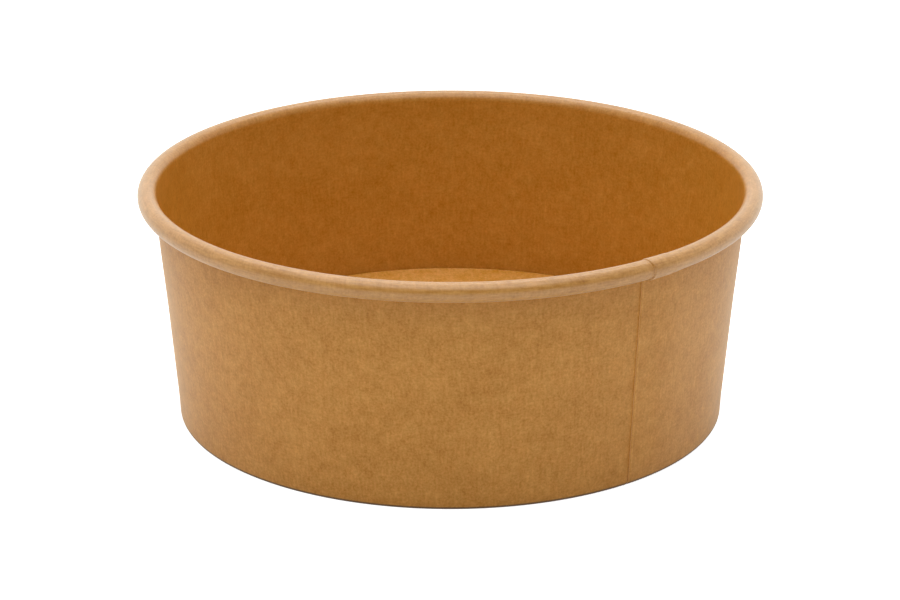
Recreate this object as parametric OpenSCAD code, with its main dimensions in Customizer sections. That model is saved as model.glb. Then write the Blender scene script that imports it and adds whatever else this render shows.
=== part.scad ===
// Kraft salad bowl: one board wrapped into a tapered wall, and a board disc gripped in its foot.
// The origin is the centre of the ring that the bowl stands on. +Z is up, and the front is -Y.
// Board thicknesses are measured level, across the nearly upright wall.

/* [Rim] */
// Outside diameter over the rolled rim
rim_d = 150; // [142:1:180]
// Height from the foot to the top of the rolled rim
bowl_h = 57.5; // [40:0.5:90]
// Diameter of the roll
roll_d = 4.6; // [4:0.1:6]
// Play between the roll's tucked end and the wall where it is doubled
tuck_play = 0.25; // [0.15:0.05:0.4]
// Degrees that the tucked end turns up past level
tuck_turn = 30; // [10:5:60]

/* [Foot] */
// Outside diameter of the foot, its wall taken down to the table
foot_d = 131.5; // [110:0.5:138]
// Height of the floor's upper face above the table
floor_h = 10.9; // [8:0.1:20]
// Drop from the floor's underside to the cut edge of the hem
hem_drop = 2.4; // [1:0.1:4]
// Outside radius of the two corners of the fold that the bowl stands on
fold_r = 0.5; // [0.3:0.05:0.6]

/* [Board] */
// Thickness of the board that the wall is wrapped from
wall_t = 0.45; // [0.35:0.01:0.6]
// Thickness of the board that the bottom disc is cut from
disc_t = 0.45; // [0.35:0.01:0.6]
// Outside radius of the bend between the floor and its skirt
bend_r = 1; // [0.8:0.1:2]
// Play between boards that are sealed to each other
seal_gap = 0.03; // [0.01:0.01:0.06]
// Play between the skirt's cut edge and the inside of the fold
skirt_play = 0.3; // [0.1:0.1:1]

/* [Side seam] */
// Direction of the seam's outer cut edge, in degrees round from +X
seam_angle = -52; // [-180:1:180]
// Width of the overlap
lap_w = 6; // [4:0.5:9]
// Width over which the outer end eases back on to the wall beside the overlap
ease_w = 18; // [14:1:24]
// How far the roll swells outward over the doubled board
roll_swell = 0.3; // [0.1:0.05:0.4]

/* [Hidden] */
$fa = 2;
$fs = 0.15;
kraft = "#B48349";

// Depth that an added layer bites into the board under it
bite = 0.1;
// Height that a cutting shape runs past what it cuts
past = 1;
// Height at which the eased end of the board has run out into the wall
feather = 0.1;
// How far a rounding stands proud of the straight face that it runs into
proud = 0.02;

// The roll is a circle whose inner side is in line with the wall's inner face.
roll_r = roll_d / 2;
roll_c = [rim_d / 2 - roll_r, bowl_h - roll_r];
tuck_r = roll_r - 2 * wall_t - tuck_play;
tuck_c = [roll_c.x, roll_c.y - roll_r + tuck_r];

// The wall's outer face is one straight taper from the foot to the middle of the roll.
foot_r = foot_d / 2;
wall_top_r = roll_c.x - roll_r + wall_t;
taper = (wall_top_r - foot_r) / roll_c.y;
function wall_r(z) = foot_r + z * taper;

// The fold grips the skirt between the wall and the hem.
slot_w = disc_t + 2 * seal_gap;
band_w = 2 * wall_t + slot_w;
hem_h = floor_h - disc_t - hem_drop;
function hem_r(z) = wall_r(z) - band_w;
outer_corner = [wall_r(fold_r) - fold_r + proud, fold_r];
inner_corner = [hem_r(fold_r) + fold_r - proud, fold_r];
// Height at which the two sides of the slot start, inside the fold
strip_z = wall_t * 0.8;

// The skirt runs down inside the wall and stops short of the fold.
skirt_z = wall_t + skirt_play;
function skirt_r(z) = wall_r(z) - wall_t - seal_gap;
bend_c = [skirt_r(floor_h - bend_r) - bend_r, floor_h - bend_r];

// The outer end of the wall's board follows a circle set off towards the seam: it stands one board
// proud at its cut edge, stays there over the overlap, and then sinks into the wall.
lap_r = (wall_top_r + foot_r) / 2;
lap_a = lap_w / lap_r * 180 / PI;
ease_a = ease_w / lap_r * 180 / PI;
off_centre = (wall_t - feather) / (1 - cos(lap_a + ease_a));
off_radius = off_centre - wall_t;
end_h = roll_c.y + wall_t;
// Angle seen from the offset centre of a place that lies at angle a from the seam
function seen(a) = atan2(lap_r * sin(a), lap_r * cos(a) - off_centre);

// The wall's single board, with the fold and the hem at its foot
module wall_section() {
    polygon([
        [wall_r(strip_z) - wall_t, strip_z],
        [wall_r(strip_z) - wall_t / 2, strip_z],
        [wall_r(fold_r), fold_r],
        [wall_top_r, roll_c.y],
        [wall_top_r - wall_t, roll_c.y]
    ]);
    polygon([
        [hem_r(strip_z) + wall_t, strip_z],
        [hem_r(strip_z) + wall_t / 2, strip_z],
        [hem_r(fold_r), fold_r],
        [hem_r(hem_h), hem_h],
        [hem_r(hem_h) + wall_t, hem_h]
    ]);
    difference() {
        union() {
            translate(outer_corner) circle(r = fold_r);
            translate(inner_corner) circle(r = fold_r);
            translate([inner_corner.x, 0]) square([outer_corner.x - inner_corner.x, wall_t]);
        }
        translate([hem_r(wall_t) + wall_t - bite, wall_t]) square([slot_w + 2 * bite, 2 * fold_r]);
    }
}

// The roll, open below on its inner side, and the end that is tucked up inside it
module roll_section() {
    difference() {
        translate(roll_c) circle(r = roll_r);
        translate(roll_c) circle(r = roll_r - wall_t);
        below_and_inside(roll_c);
    }
    intersection() {
        difference() {
            translate(tuck_c) circle(r = tuck_r);
            translate(tuck_c) circle(r = tuck_r - wall_t);
        }
        translate(tuck_c - [roll_r, roll_r]) square([roll_r, roll_r + tuck_r * sin(tuck_turn)]);
    }
}

// The quarter of the roll that stays open, where the wall comes up
module below_and_inside(corner) {
    translate(corner - [roll_d, roll_d]) square(roll_d);
}

// The board's outer end, filled inwards to a line well inside the wall
module end_section() {
    deep = outer_corner.x - 2 * wall_t;
    polygon([
        [deep, 0],
        [outer_corner.x, 0],
        [outer_corner.x, fold_r],
        [wall_r(fold_r), fold_r],
        [wall_r(end_h), end_h],
        [deep, end_h]
    ]);
    translate(outer_corner) circle(r = fold_r);
}

// What the outer end leaves to the wall under it
module wall_core() {
    rotate_extrude() polygon([
        [0, -past],
        [outer_corner.x - bite, -past],
        [outer_corner.x - bite, wall_t / 2],
        [wall_r(wall_t / 2) - wall_t + bite, wall_t / 2],
        [wall_top_r - wall_t + bite, roll_c.y],
        [wall_top_r, roll_c.y],
        [wall_top_r, end_h + past],
        [0, end_h + past]
    ]);
}

// Turns a section about the seam's offset centre, between two angles counted from the seam
module off_centre_turn(from, to) {
    rotate([0, 0, seam_angle]) translate([off_centre, 0, 0])
        rotate_extrude(start = seen(from), angle = seen(to) - seen(from))
            translate([-off_radius, 0]) children();
}

// The outer end of the board, lapped over the inner end
module outer_end() {
    difference() {
        off_centre_turn(0, lap_a + ease_a) end_section();
        wall_core();
    }
}

// The hollow beside the inner end's cut edge, where the outer end hasn't yet reached the mandrel
module inner_step() {
    low = floor_h - bend_r;
    high = roll_c.y - bite;
    off_centre_turn(lap_a, lap_a + ease_a) polygon([
        [wall_r(low) - roll_d, low],
        [wall_r(low) - wall_t, low],
        [wall_r(high) - wall_t, high],
        [wall_r(low) - roll_d, high]
    ]);
}

// The swelling of the roll over the doubled board
module roll_lap() {
    rotate_extrude(start = seam_angle, angle = lap_a) difference() {
        translate(roll_c + [roll_swell * 2 / 3, 0]) circle(r = roll_r + roll_swell / 3);
        translate(roll_c) circle(r = roll_r - wall_t / 2);
        below_and_inside(roll_c);
    }
}

// The overlap carried on up the inside of the hem
module hem_lap() {
    low = 2 * fold_r;
    rotate_extrude(start = seam_angle, angle = lap_a) polygon([
        [hem_r(low) - wall_t, low],
        [hem_r(low) + bite, low],
        [hem_r(hem_h) + bite, hem_h],
        [hem_r(hem_h) - wall_t, hem_h]
    ]);
}

module side_wall() {
    color(kraft) {
        difference() {
            union() {
                rotate_extrude() {
                    wall_section();
                    roll_section();
                }
                outer_end();
            }
            inner_step();
        }
        roll_lap();
        hem_lap();
    }
}

// Everything under the floor's upper face and inside the skirt, drawn in by an inset
module disc_outline(inset, low) {
    polygon([
        [0, low],
        [skirt_r(low) - inset, low],
        [skirt_r(bend_c.y) - inset, bend_c.y],
        bend_c,
        [bend_c.x, floor_h - inset],
        [0, floor_h - inset]
    ]);
    translate(bend_c) circle(r = bend_r - inset);
}

module bottom_disc() {
    color(kraft) rotate_extrude() difference() {
        disc_outline(0, skirt_z);
        disc_outline(disc_t, skirt_z - past);
    }
}

side_wall();
bottom_disc();
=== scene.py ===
# %% [markdown]
# A kraft salad bowl, made of two boards
#
# The bowl is one fan-shaped board, wrapped round until its ends overlap, and one round board for the floor.
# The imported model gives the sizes, apart from a few tenths of a millimetre that are named where they occur.
# This lesson makes the two boards again as sheets with a real thickness, cut edges and an overlap, and then
# gives them the look of uncoated brown board.

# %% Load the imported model
from math import atan2, cos, degrees, hypot, pi, radians, sin

import bmesh
import bpy
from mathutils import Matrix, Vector


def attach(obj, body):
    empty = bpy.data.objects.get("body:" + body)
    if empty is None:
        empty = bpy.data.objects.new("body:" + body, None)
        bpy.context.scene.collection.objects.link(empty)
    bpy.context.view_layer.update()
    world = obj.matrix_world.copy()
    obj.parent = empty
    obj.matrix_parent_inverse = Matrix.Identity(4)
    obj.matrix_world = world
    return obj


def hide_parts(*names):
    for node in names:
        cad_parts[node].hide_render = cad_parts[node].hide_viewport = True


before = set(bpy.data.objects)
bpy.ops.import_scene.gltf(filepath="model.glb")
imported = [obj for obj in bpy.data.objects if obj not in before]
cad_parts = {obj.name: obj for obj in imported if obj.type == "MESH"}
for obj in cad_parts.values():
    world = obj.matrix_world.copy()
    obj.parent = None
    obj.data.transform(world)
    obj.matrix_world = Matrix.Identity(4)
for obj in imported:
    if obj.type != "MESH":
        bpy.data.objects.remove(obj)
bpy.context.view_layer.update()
MM = 0.001
print("nodes:", sorted(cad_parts))

# %% [markdown]
# The line that the board follows
#
# Cut the bowl from the rim to the table and look at the cut: the wall's board is one line. It comes down
# inside as a hem, folds under at the foot, runs up as the wall, rolls outward over the rim and ends tucked
# inside the roll. A drawn curve could do this too, but a short list of straight and round strokes keeps each
# size readable. Every point carries the direction in which the board's outer face looks. The foot, with its
# hem and the floor's edge, is 0.25 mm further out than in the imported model, and the wall runs from there to
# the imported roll, which brings its outline closer to the photographed one.

# %% Two kinds of stroke, in millimetres
BOARD = 0.45
RIM_ROLL = (72.7, 55.2)
ROLL_RADIUS = 2.075
TUCK = (72.7, 54.05)
TUCK_RADIUS = 0.925
FOOT_RADIUS = 66.0
LEAN = (70.95 - FOOT_RADIUS) / RIM_ROLL[1]


def outside_radius(z):
    return FOOT_RADIUS + z * LEAN


def straight(start, end, steps, zone):
    run = (end[0] - start[0], end[1] - start[1])
    size = hypot(*run)
    face = (run[1] / size, -run[0] / size)
    return [(start[0] + run[0] * i / steps, start[1] + run[1] * i / steps, *face, zone)
            for i in range(steps + 1)]


def round_stroke(centre, radius, start, end, steps, zone):
    points = []
    for i in range(steps + 1):
        angle = radians(start + (end - start) * i / steps)
        side = 1 if end > start else -1
        points.append((centre[0] + radius * cos(angle), centre[1] + radius * sin(angle),
                       side * cos(angle), side * sin(angle), zone))
    return points


print("the wall leans out", round(degrees(atan2(LEAN, 1)), 1), "degrees")

# %% [markdown]
# From the hem's top to the tucked end
#
# The hem stands 1.4 mm inside the wall, which leaves room for the floor's skirt between them. The strokes
# are laid end to end, and the length along them is kept, because it is also the height on the flat blank.

# %% Draw the wall's line
HEM_TOP = 8.05
FOLD_LOW = 0.5
hem_in = 1.41 - BOARD / 2
fold_bend = FOLD_LOW - BOARD / 2
hem_foot = outside_radius(FOLD_LOW) - hem_in
wall_foot = outside_radius(FOLD_LOW) - BOARD / 2
strokes = [
    straight((outside_radius(HEM_TOP) - hem_in, HEM_TOP), (hem_foot, FOLD_LOW), 4, "hem"),
    round_stroke((hem_foot + fold_bend, FOLD_LOW), fold_bend, 180, 270, 4, "fold"),
    round_stroke((wall_foot - fold_bend, FOLD_LOW), fold_bend, 270, 360, 4, "fold"),
    straight((wall_foot, FOLD_LOW), (RIM_ROLL[0] - ROLL_RADIUS, RIM_ROLL[1]), 26, "wall"),
    round_stroke(RIM_ROLL, ROLL_RADIUS, 180, -90, 32, "roll"),
    round_stroke(TUCK, TUCK_RADIUS, -90, -210, 8, "tuck"),
]
line = strokes[0]
for stroke in strokes[1:]:
    near = hypot(stroke[0][0] - line[-1][0], stroke[0][1] - line[-1][1]) < 0.01
    line = line + (stroke[1:] if near else stroke)
along = [0.0]
for a, b in zip(line, line[1:]):
    along.append(along[-1] + hypot(b[0] - a[0], b[1] - a[1]))
print("rows", len(line), "board width", round(along[-1], 1), "mm")

# %% [markdown]
# Where the columns of the blank go
#
# The blank is wrapped a full turn and then 6 mm more, which is the overlap. Most of the wall can do with a
# column of points every degree, but the two cut ends and the crease that they press into the rim are only
# a few tenths of a millimetre wide, so the columns crowd together there.

# %% Choose the columns, in degrees from the outer cut edge
MID_RADIUS = 68.3
LAP = degrees(6 / MID_RADIUS)
EASE = degrees(18 / MID_RADIUS)


def spread(start, end, step):
    count = max(1, round((end - start) / step))
    return [start + (end - start) * i / count for i in range(count)]


columns = (spread(0, 0.4, 0.04) + spread(0.4, LAP - 0.4, 0.3) + spread(LAP - 0.4, LAP + 1.2, 0.08)
           + spread(LAP + 1.2, 24, 0.6) + spread(24, 354, 1.1) + spread(354, 359, 0.5)
           + spread(359, 360.8, 0.05) + spread(360.8, 364.2, 0.3) + spread(364.2, 360 + LAP, 0.08)
           + [360 + LAP])
print("columns", len(columns), "overlap", round(LAP, 2), "degrees")

# %% [markdown]
# Where a point of the board lies across its thickness
#
# On the wall the board's first end lies outside its last end, one board proud, and then sinks on to the
# wall beside the overlap. In the rim it is the other way round, because the roll turns the wall inside out:
# the hidden end pushes the visible one outward, in a sharp crease on one side and pressed flat on the other.
# At the foot the tool presses the two ends into the thickness of one, or the bowl would rock on them. The
# board also stands up to 0.2 mm further out at the fold and under the rim. The photograph doesn't show that
# as a form: it was added because it brings the outline closer.

# %% Rules for the rim and the foot
GAP = 0.01


def smooth(x):
    x = min(1.0, max(0.0, x))
    return x * x * (3 - 2 * x)


def roll_angle(point):
    return degrees(atan2(point[1] - RIM_ROLL[1], point[0] - RIM_ROLL[0]))


def in_roll(point):
    if point[4] == "tuck":
        return 1.0
    return smooth((180 - roll_angle(point)) / 60) if point[4] == "roll" else 0.0


def swell(turn, point):
    """How far the hidden end pushes the visible board outward in the rim."""
    angle = roll_angle(point) if point[4] == "roll" else -90
    full = 0.17 + 0.12 * (1 - sin(radians(angle))) / 2
    past = turn - 360 if turn > 180 else turn
    rise = smooth((past + 0.05) / 0.18)
    dip = 0.10 * max(0.0, 1 - abs(past + 0.12) / 0.15)
    ridge = 0.04 * max(0.0, 1 - abs(past - 0.3) / 0.25)
    return full * rise * (1 - 0.25 * smooth(past / LAP)) - dip + ridge


def pressed(point):
    """1 in the foot's fold, where the lapped boards share one thickness, and 0 from 4 mm above it."""
    if point[4] == "fold":
        return 1.0
    return 1 - smooth((point[1] - FOLD_LOW) / 4) if point[1] < 9 else 0.0


def fuller(point):
    """How much further out the board stands: a swollen crease at the foot, a flare under the rim."""
    if point[4] == "fold":
        return 0.12 * smooth((point[0] - hem_foot) / (wall_foot - hem_foot))
    if point[4] == "wall":
        z = point[1]
        flare = 0.2 * smooth((z - 26) / 20) * (1 - smooth((z - 50.5) / 4))
        return 0.12 * (1 - smooth((z - FOLD_LOW) / 4)) + flare
    return 0.0


print("widest flare", round(max(fuller(point) for point in line), 2), "mm")

# %% [markdown]
# The overlap itself
#
# The hidden end is pared thin where it stops, so that the visible board runs over it without a step. The
# visible end is cut square, with its corner rubbed down a little.

# %% Rules for the overlap
PARED = 0.84


def hidden_end(turn, point, rolled, press):
    """The board from the far side round to the hidden end."""
    paring = PARED * rolled * (1 - smooth((360 + LAP - turn) / 1.6))
    thick = BOARD * (1 - paring) * (1 - 0.5 * press * smooth((turn - 359.5) / 0.5))
    skin = -BOARD / 2 - rolled * swell(turn, point)
    return skin + thick / 2, thick


def visible_end(turn, point, rolled, press):
    """The board from the visible cut edge to the far side."""
    lifted = 1 - smooth((turn - LAP) / EASE)
    full = BOARD - (0.5 * BOARD + GAP) * press * lifted
    thick = full * (1 - 0.25 * (1 - rolled) * (1 - press) * (1 - smooth(turn / 0.14)))
    on_wall = (BOARD * (1 - 0.5 * press) + GAP) * lifted - (BOARD - thick) / 2
    if turn <= LAP:
        over = BOARD * (1 - PARED * (1 - smooth((LAP - turn) / 1.6)))
        in_rim = over + GAP - swell(turn, point)
    else:
        at_edge = BOARD * (1 - PARED) + GAP - swell(LAP, point)
        in_rim = at_edge * (1 - smooth((turn - LAP) / 4.5))
    return on_wall + (in_rim - on_wall) * rolled, thick


def layer(turn, point):
    """Middle of the board, measured towards its outer face, and its thickness there."""
    end = hidden_end if turn > 180 else visible_end
    return end(turn, point, in_roll(point), pressed(point))


def seam_place(point):
    """Azimuth of the cut edge, which leans a little, and bows in the rim."""
    if point[4] in ("roll", "tuck"):
        angle = roll_angle(point) if point[4] == "roll" else -90
        return -52.75 + 0.5 * cos(radians(angle)) ** 2 if angle < 90 else -52.75
    return -51.5 - 0.0187 * point[1]


print("seam at the foot", round(seam_place(line[13]), 2), "and in the rim", seam_place(line[-1]))

# %% [markdown]
# The wall's board
#
# A real maker starts from a flat blank, and so does this: a grid for the sheet, a second skin for its
# thickness, and a map of its flat sizes while it still lies flat. The map stays with the board, so fibres
# and streaks later follow it round the fold and the roll. The outer skin is moved 600 mm along the map,
# which keeps the two skins' patterns apart.

# %% Cut the flat blank
bm = bmesh.new()
bmesh.ops.create_grid(bm, x_segments=len(columns) - 1, y_segments=len(line) - 1, size=1)
bmesh.ops.solidify(bm, geom=bm.faces[:], thickness=0.1)
flat = bm.loops.layers.uv.new("Board")
middle = sum(v.co.z for v in bm.verts) / len(bm.verts)
OUTER_SKIN = 600


def flat_place(v):
    column = round((v.co.x + 1) / 2 * (len(columns) - 1))
    row = round((v.co.y + 1) / 2 * (len(line) - 1))
    return column, row, v.co.z > middle


cut_faces = 0
for face in bm.faces:
    outer = [flat_place(v)[2] for v in face.verts]
    face.material_index = 0 if all(outer) else 1 if any(outer) else 2
    cut_faces += face.material_index == 1
    face.smooth = True
    for loop in face.loops:
        column, row, is_outer = flat_place(loop.vert)
        loop[flat].uv = (radians(columns[column]) * MID_RADIUS + is_outer * OUTER_SKIN, along[row])
for edge in bm.edges:
    kinds = {face.material_index for face in edge.link_faces}
    edge.smooth = len(kinds) == 1
print("blank faces", len(bm.faces), "of them cut edge", cut_faces)

# %% [markdown]
# Wrapped, rolled and folded
#
# On the machine the blank goes round a former, and the rim and the foot are rolled last. Here each point
# takes its place on the bowl at once: its row says where on the line it is, its column how far round.

# %% Wrap the blank
for v in bm.verts:
    column, row, is_outer = flat_place(v)
    point, turn = line[row], columns[column]
    mid, thick = layer(turn, point)
    out = mid + (thick / 2 if is_outer else -thick / 2)
    radius, height = point[0] + point[2] * out + fuller(point), point[1] + point[3] * out
    azimuth = radians(seam_place(point) + turn)
    v.co = Vector((radius * cos(azimuth), radius * sin(azimuth), height)) * MM
bmesh.ops.recalc_face_normals(bm, faces=bm.faces[:])
mesh = bpy.data.meshes.new("side_wall_sheet")
bm.to_mesh(mesh)
bm.free()
wall = bpy.data.objects.new("side_wall_sheet", mesh)
bpy.context.scene.collection.objects.link(wall)
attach(wall, "root")
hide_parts("side_wall")
print("wall faces", len(mesh.polygons), "size in mm", [round(side / MM, 1) for side in wall.dimensions])

# %% [markdown]
# The floor's board
#
# The floor is a pressed disc: flat, bent down at its edge, with a skirt that stands in the fold. It is round
# all the way, so half of its outline is drawn once and spun round the middle line. The pole in the middle is
# closed by merging the points that meet there.

# %% Draw half of the disc and spin it
FLOOR_TOP = 10.9
SKIRT_FOOT = 0.75
BEND = 1.0
PLAY = 0.03


def skirt_radius(z):
    return outside_radius(z) - BOARD - PLAY


bend_centre = (skirt_radius(FLOOR_TOP - BEND) - BEND, FLOOR_TOP - BEND)


def disc_face(inset):
    rings = [0, 6, 14, 24, 34, 44, 54, 60]
    level = [(r, FLOOR_TOP - inset - 0.12 * (1 - smooth(r / 60))) for r in rings]
    bend = [(p[0], p[1]) for p in round_stroke(bend_centre, BEND - inset, 90, 0, 8, "bend")]
    foot = [(skirt_radius(z) - inset, z) for z in (6.5, 3.5, SKIRT_FOOT)]
    return level + bend + foot


outline = disc_face(0) + disc_face(BOARD)[::-1]
bm = bmesh.new()
verts = [bm.verts.new((r * MM, 0, z * MM)) for r, z in outline]
edges = [bm.edges.new(pair) for pair in zip(verts, verts[1:])]
bmesh.ops.spin(bm, geom=verts + edges, axis=(0, 0, 1), cent=(0, 0, 0), angle=2 * pi, steps=256,
               use_merge=True)
bmesh.ops.remove_doubles(bm, verts=bm.verts[:], dist=0.002 * MM)
bmesh.ops.recalc_face_normals(bm, faces=bm.faces[:])
for face in bm.faces:
    face.smooth = True
mesh = bpy.data.meshes.new("bottom_disc_sheet")
bm.to_mesh(mesh)
bm.free()
mesh.set_sharp_from_angle(angle=radians(50))
disc = bpy.data.objects.new("bottom_disc_sheet", mesh)
bpy.context.scene.collection.objects.link(disc)
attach(disc, "root")
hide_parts("bottom_disc")
print("disc faces", len(mesh.polygons))

# %% [markdown]
# Kraft board
#
# Uncoated brown board is matt, with soft clouds a millimetre or three wide, faint streaks along its fibres
# and a few darker and paler specks. A photograph of board would bring its own light and join, so the clouds,
# streaks and specks are made from noise, laid on the board's own flat map.

# %% Helpers for the material's nodes


def add(tree, kind, **settings):
    node = tree.nodes.new(kind)
    for name, value in settings.items():
        setattr(node, name, value)
    return node


def put(tree, value, socket):
    if isinstance(value, bpy.types.NodeSocket):
        tree.links.new(value, socket)
    else:
        socket.default_value = value


def maths(tree, operation, a, b=0.0, c=0.0, clamp=False):
    node = add(tree, "ShaderNodeMath", operation=operation, use_clamp=clamp)
    for value, socket in zip((a, b, c), node.inputs):
        put(tree, value, socket)
    return node.outputs[0]


def blend_colour(tree, factor, a, b, kind="MIX"):
    node = add(tree, "ShaderNodeMix", data_type="RGBA", blend_type=kind)
    put(tree, factor, node.inputs["Factor"])
    put(tree, a, node.inputs[6])
    put(tree, b, node.inputs[7])
    return node.outputs[2]


def noise(tree, place, size, detail=2.0, rough=0.5, stretch=(1, 1, 1), shift=0.0):
    """Noise from 0 to 1 whose patches are about size mm wide."""
    moved = add(tree, "ShaderNodeMapping")
    moved.inputs["Scale"].default_value = [part / size for part in stretch]
    moved.inputs["Location"].default_value = (shift, shift, shift)
    tree.links.new(place, moved.inputs["Vector"])
    node = add(tree, "ShaderNodeTexNoise")
    node.inputs["Scale"].default_value = 1.0
    node.inputs["Detail"].default_value = detail
    node.inputs["Roughness"].default_value = rough
    tree.links.new(moved.outputs[0], node.inputs["Vector"])
    return node.outputs["Fac"]


def ramp(tree, value, slope, offset):
    """A rise or fall from 0 to 1, slope per mm."""
    return maths(tree, "MULTIPLY_ADD", value, slope, offset, clamp=True)


def more(tree, light, value, amount):
    return maths(tree, "MULTIPLY_ADD", value, amount, light)


print("helpers ready")

# %% [markdown]
# Where the pattern lies, and how strong it is
#
# The wall's pattern lies on its flat map, in millimetres. The disc is a plain turned shape, and there the
# object's own coordinates do. Clouds, patches, fibres and grain each add a little light or shade. Their
# strengths were set against a photographed board. The spread of brightness came near it, not to it: about
# a sixth too strong at fine scale, and less close at coarse scale.

# %% Lay out the mottle


def board_place(tree, on_map):
    if on_map:
        return add(tree, "ShaderNodeUVMap", uv_map="Board").outputs[0]
    scaled = add(tree, "ShaderNodeMapping")
    scaled.inputs["Scale"].default_value = (1000, 1000, 1000)
    tree.links.new(add(tree, "ShaderNodeTexCoord").outputs["Object"], scaled.inputs["Vector"])
    return scaled.outputs[0]


def mottled(tree, place, strength):
    """Light and shade around 0, and the relief that goes with it."""
    cloud = noise(tree, place, 2.2, 3.0, 0.6)
    patch = noise(tree, place, 6.0, 1.0, 0.5, shift=17.0)
    wide = noise(tree, place, 16.0, 1.0, 0.5, shift=7.0)
    fibre = noise(tree, place, 0.7, 2.0, 0.6, (1.0, 0.2, 1.0), 3.0)
    grain = noise(tree, place, 0.6, 2.0, 0.7, shift=11.0)
    light = maths(tree, "MULTIPLY", maths(tree, "SUBTRACT", cloud, 0.5), 0.66 * strength)
    for part, amount in ((fibre, 0.55), (patch, 0.30), (wide, 0.30), (grain, 1.05)):
        light = more(tree, light, maths(tree, "SUBTRACT", part, 0.5), amount * strength)
    specks = noise(tree, place, 0.8, 1.0, 0.5, (1.0, 0.5, 1.0), 23.0)
    light = more(tree, light, maths(tree, "GREATER_THAN", specks, 0.74), -0.12)
    return light, maths(tree, "ADD", maths(tree, "ADD", cloud, fibre), grain)


def paint_seam_highlight_and_rim_shade(tree, light, u, v):
    """Painted highlight: paler just beside the cut edge. Painted shade: a little darker under the rim."""
    # Painted highlight: a pale strip 0.5 mm wide beside the cut edge.
    seam_highlight = maths(tree, "MULTIPLY", maths(tree, "GREATER_THAN", u, OUTER_SKIN - 0.01),
                   maths(tree, "LESS_THAN", u, OUTER_SKIN + 0.5))
    light = more(tree, light, seam_highlight, 0.14)
    # Painted shade under the rim: darker over the wall's upper 20 mm, and more in the last 2.5 mm under the
    # roll.
    light = more(tree, light, ramp(tree, v, 0.05, -2.2), -0.08)
    return more(tree, light, ramp(tree, v, 0.4, -24.6), -0.09)


print("mottle ready")

# %% [markdown]
# Kraft board's colour and finish
#
# A paler spot in brown board is a whiter fibre, so the light changes blue most and red least. The rolled rim
# shows the coated inner face, and it is made a little greyer, glossier and streaked along the rim. Three
# marks of light and shade are painted into the colour: painted shade as a thin dark line in the foot's fold,
# painted shade as a darker band under the rim, and a painted highlight as a pale strip beside the cut edge.

# %% Make the kraft material
# Colour of the painted shade: a thin dark line in the foot's fold.
PAINTED_FOOT_SHADE = (0.10, 0.055, 0.02, 1)
WARM = (1.012, 0.994, 0.97, 1)
OLIVE = (0.99, 1.006, 1.02, 1)
WHITER = (0.68, 1.0, 3.4)


def board_colour(tree, place, base, light):
    hue = noise(tree, place, 3.5, 2.0, 0.5, shift=31.0)
    tint = blend_colour(tree, ramp(tree, hue, 3.0, -1.0), WARM, OLIVE)
    tinted = blend_colour(tree, 1.0, base, tint, "MULTIPLY")
    shade = add(tree, "ShaderNodeCombineColor")
    for socket, share in zip(shade.inputs[:3], WHITER):
        lit = maths(tree, "MULTIPLY_ADD", light, share, 1.0)
        tree.links.new(maths(tree, "MAXIMUM", lit, 0.1), socket)
    return blend_colour(tree, 1.0, tinted, shade.outputs[0], "MULTIPLY")


def kraft(name, colour, on_map, gloss, fuzz=0.0, rim_fuzz=0.0, face=False, mottle=1.0):
    material = bpy.data.materials.new(name)
    material.use_nodes = True
    tree = material.node_tree
    shader = tree.nodes["Principled BSDF"]
    place = board_place(tree, on_map)
    split = add(tree, "ShaderNodeSeparateXYZ")
    tree.links.new(place, split.inputs[0])
    u, v = split.outputs["X"], split.outputs["Y"]
    light, relief = mottled(tree, place, mottle)
    if face:
        # Painted highlight beside the cut edge and painted shade under the rim.
        light = paint_seam_highlight_and_rim_shade(tree, light, u, v)
    base = add(tree, "ShaderNodeRGB").outputs[0]
    base.default_value = (*colour, 1)
    if rim_fuzz:
        on_rim = ramp(tree, v, 0.5, -32.2)
        base = blend_colour(tree, on_rim, base, (colour[0] * 0.93, colour[1] * 0.94, colour[2] * 1.1, 1))
        drawn = noise(tree, place, 0.5, 2.0, 0.6, (0.12, 1.0, 1.0), 41.0)
        light = more(tree, light, maths(tree, "MULTIPLY", maths(tree, "SUBTRACT", drawn, 0.5), 0.9), on_rim)
        tree.links.new(maths(tree, "MULTIPLY", on_rim, rim_fuzz), shader.inputs["Sheen Weight"])
        tree.links.new(maths(tree, "MULTIPLY_ADD", on_rim, 0.45, 0.5), shader.inputs["Specular IOR Level"])
    else:
        shader.inputs["Sheen Weight"].default_value = fuzz
    shown = board_colour(tree, place, base, light)
    if face:
        # Painted shade: a thin dark line in the foot's fold, blended in at 85 %.
        foot = maths(tree, "MULTIPLY", ramp(tree, v, -5.0, 45.4), ramp(tree, v, 5.0, -41.0))
        shown = blend_colour(tree, maths(tree, "MULTIPLY", foot, 0.85), shown, PAINTED_FOOT_SHADE)
    tree.links.new(shown, shader.inputs["Base Color"])
    shader.inputs["Roughness"].default_value = gloss
    shader.inputs["IOR"].default_value = 1.5
    shader.inputs["Sheen Roughness"].default_value = 0.4
    shader.inputs["Sheen Tint"].default_value = (1.0, 0.94, 0.76, 1) if rim_fuzz else (1.0, 0.91, 0.72, 1)
    bump = add(tree, "ShaderNodeBump")
    bump.inputs["Strength"].default_value = 0.35
    bump.inputs["Distance"].default_value = 0.02 * MM
    tree.links.new(relief, bump.inputs["Height"])
    tree.links.new(bump.outputs[0], shader.inputs["Normal"])
    return material


print("a paler spot gains red, green and blue as", WHITER)

# %% [markdown]
# One board, four faces
#
# The outside is bare and slightly furry, the cut edges are pale, and the inside has a thin clear coat, which
# makes it smoother and deeper in colour. The floor looks paler in the photograph, so its disc gets a paler
# board, which is a guess.

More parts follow.
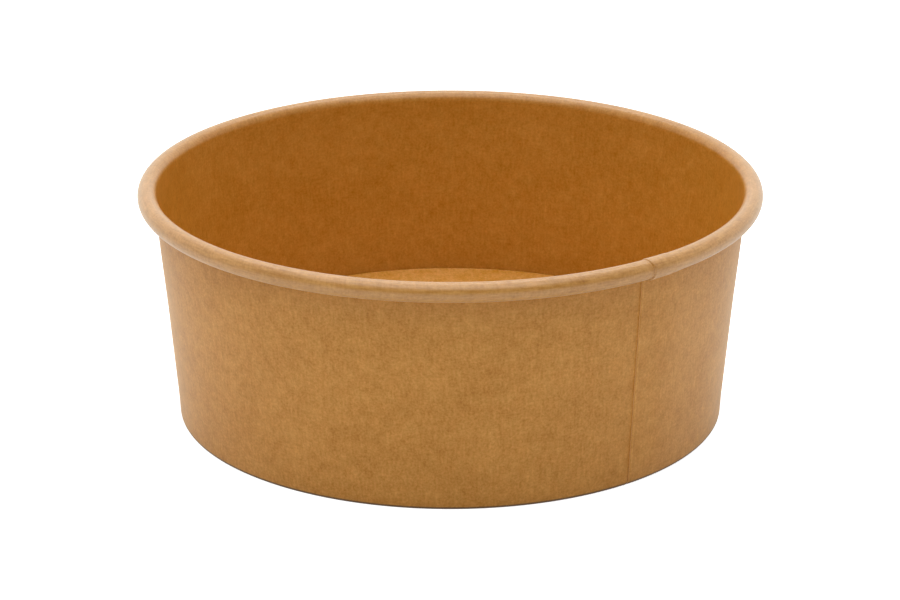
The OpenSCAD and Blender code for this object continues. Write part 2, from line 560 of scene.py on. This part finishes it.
# %% Give each face its finish
# face=True paints the highlight beside the cut edge and the shade under the rim and in the foot's fold.
outer_kraft = kraft("kraft_outer_face", (0.507, 0.217, 0.0235), True, 0.55, fuzz=0.40, face=True)
cut_kraft = kraft("kraft_cut_edge", (0.74, 0.42, 0.15), True, 0.8)
coated_kraft = kraft("kraft_coated_face", (0.495, 0.218, 0.024), True, 0.35, rim_fuzz=0.5, mottle=0.78)
floor_kraft = kraft("kraft_floor_board", (0.70, 0.338, 0.068), False, 0.35)
for finish in (outer_kraft, cut_kraft, coated_kraft):
    wall.data.materials.append(finish)
disc.data.materials.append(floor_kraft)
print("materials:", [m.name for m in bpy.data.materials])

# %% [markdown]
# Floor
#
# The bowl stands in a plain white booth. The white of its floor is shown to the camera only, so it costs the
# bowl no extra light, and the floor under it still takes the bowl's shadow.

# %% Stand the bowl on a white floor
bm = bmesh.new()
bmesh.ops.create_grid(bm, x_segments=1, y_segments=1, size=3)
mesh = bpy.data.meshes.new("floor")
bm.to_mesh(mesh)
bm.free()
floor = bpy.data.objects.new("floor", mesh)
bpy.context.scene.collection.objects.link(floor)
white = bpy.data.materials.new("booth_floor")
white.use_nodes = True
tree = white.node_tree
shader = tree.nodes["Principled BSDF"]
shader.inputs["Base Color"].default_value = (0.9, 0.9, 0.9, 1)
shader.inputs["Roughness"].default_value = 0.9
shader.inputs["Specular IOR Level"].default_value = 0.0
path = add(tree, "ShaderNodeLightPath")
shader.inputs["Emission Color"].default_value = (1, 1, 1, 1)
shown_white = maths(tree, "MULTIPLY", path.outputs["Is Camera Ray"], 0.72)
tree.links.new(shown_white, shader.inputs["Emission Strength"])
floor.data.materials.append(white)
print("floor laid")

# %% [markdown]
# Light
#
# Most of the light is a soft pale surround, nine times as bright straight behind the bowl as straight in
# front of it. It was set together with the boards' colours, until the shading came near the photographed
# one. A large soft lamp overhead shades the wall under the rim, and a long one behind puts the pale line on
# top of the roll.

# %% Light the booth
world = bpy.data.worlds.new("booth")
bpy.context.scene.world = world
world.use_nodes = True
tree = world.node_tree
background = tree.nodes["Background"]
background.inputs["Color"].default_value = (1, 1, 1, 1)
way = add(tree, "ShaderNodeSeparateXYZ")
tree.links.new(add(tree, "ShaderNodeTexCoord").outputs["Generated"], way.inputs[0])
surround = maths(tree, "MULTIPLY_ADD", way.outputs["Y"], 0.58, 0.725)
surround = maths(tree, "MULTIPLY_ADD", way.outputs["X"], -0.08, surround)
surround = maths(tree, "MULTIPLY_ADD", way.outputs["Z"], 0.10, surround)
path = add(tree, "ShaderNodeLightPath")
shown = add(tree, "ShaderNodeMix", data_type="FLOAT")
put(tree, path.outputs["Is Camera Ray"], shown.inputs["Factor"])
put(tree, surround, shown.inputs["A"])
put(tree, 1.0, shown.inputs["B"])
tree.links.new(shown.outputs[0], background.inputs["Strength"])


def lamp(name, place, aim, size, watts):
    data = bpy.data.lights.new(name, "AREA")
    data.shape = "RECTANGLE"
    data.size, data.size_y = size
    data.energy = watts
    made = bpy.data.objects.new(name, data)
    bpy.context.scene.collection.objects.link(made)
    made.location = place
    made.rotation_euler = (Vector(aim) - Vector(place)).to_track_quat("-Z", "Y").to_euler()
    return made


# The overhead lamp's shade under the rim is deepened by painted shade in the outer board's colour.
lamp("overhead", (-0.05, -0.25, 0.9), (0, 0, 0), (1.1, 0.8), 4.2)
lamp("rim_strip", (0, 0.46, 0.86), (0, 0, 0), (0.9, 0.3), 2.4)
print("lamps:", [light.name for light in bpy.data.lights])

# %% [markdown]
# Camera
#
# A long lens from about 0.8 m, looking down by some 20 degrees, brings the outline within a pixel of the
# photographed one.

# %% Place the camera as in the photograph
view = bpy.data.cameras.new("camera")
view.lens, view.sensor_width = 134.75, 36
view.clip_start = 0.01
camera = bpy.data.objects.new("camera", view)
bpy.context.scene.collection.objects.link(camera)
camera.location = (-0.00006, -0.76864, 0.31251)
aim = Vector((-0.00006, 0, 0.02636))
camera.rotation_euler = (aim - camera.location).to_track_quat("-Z", "Y").to_euler()
bpy.context.scene.camera = camera
bpy.context.scene.view_settings.view_transform = "Standard"
print("camera", round((aim - camera.location).length, 3), "m away")
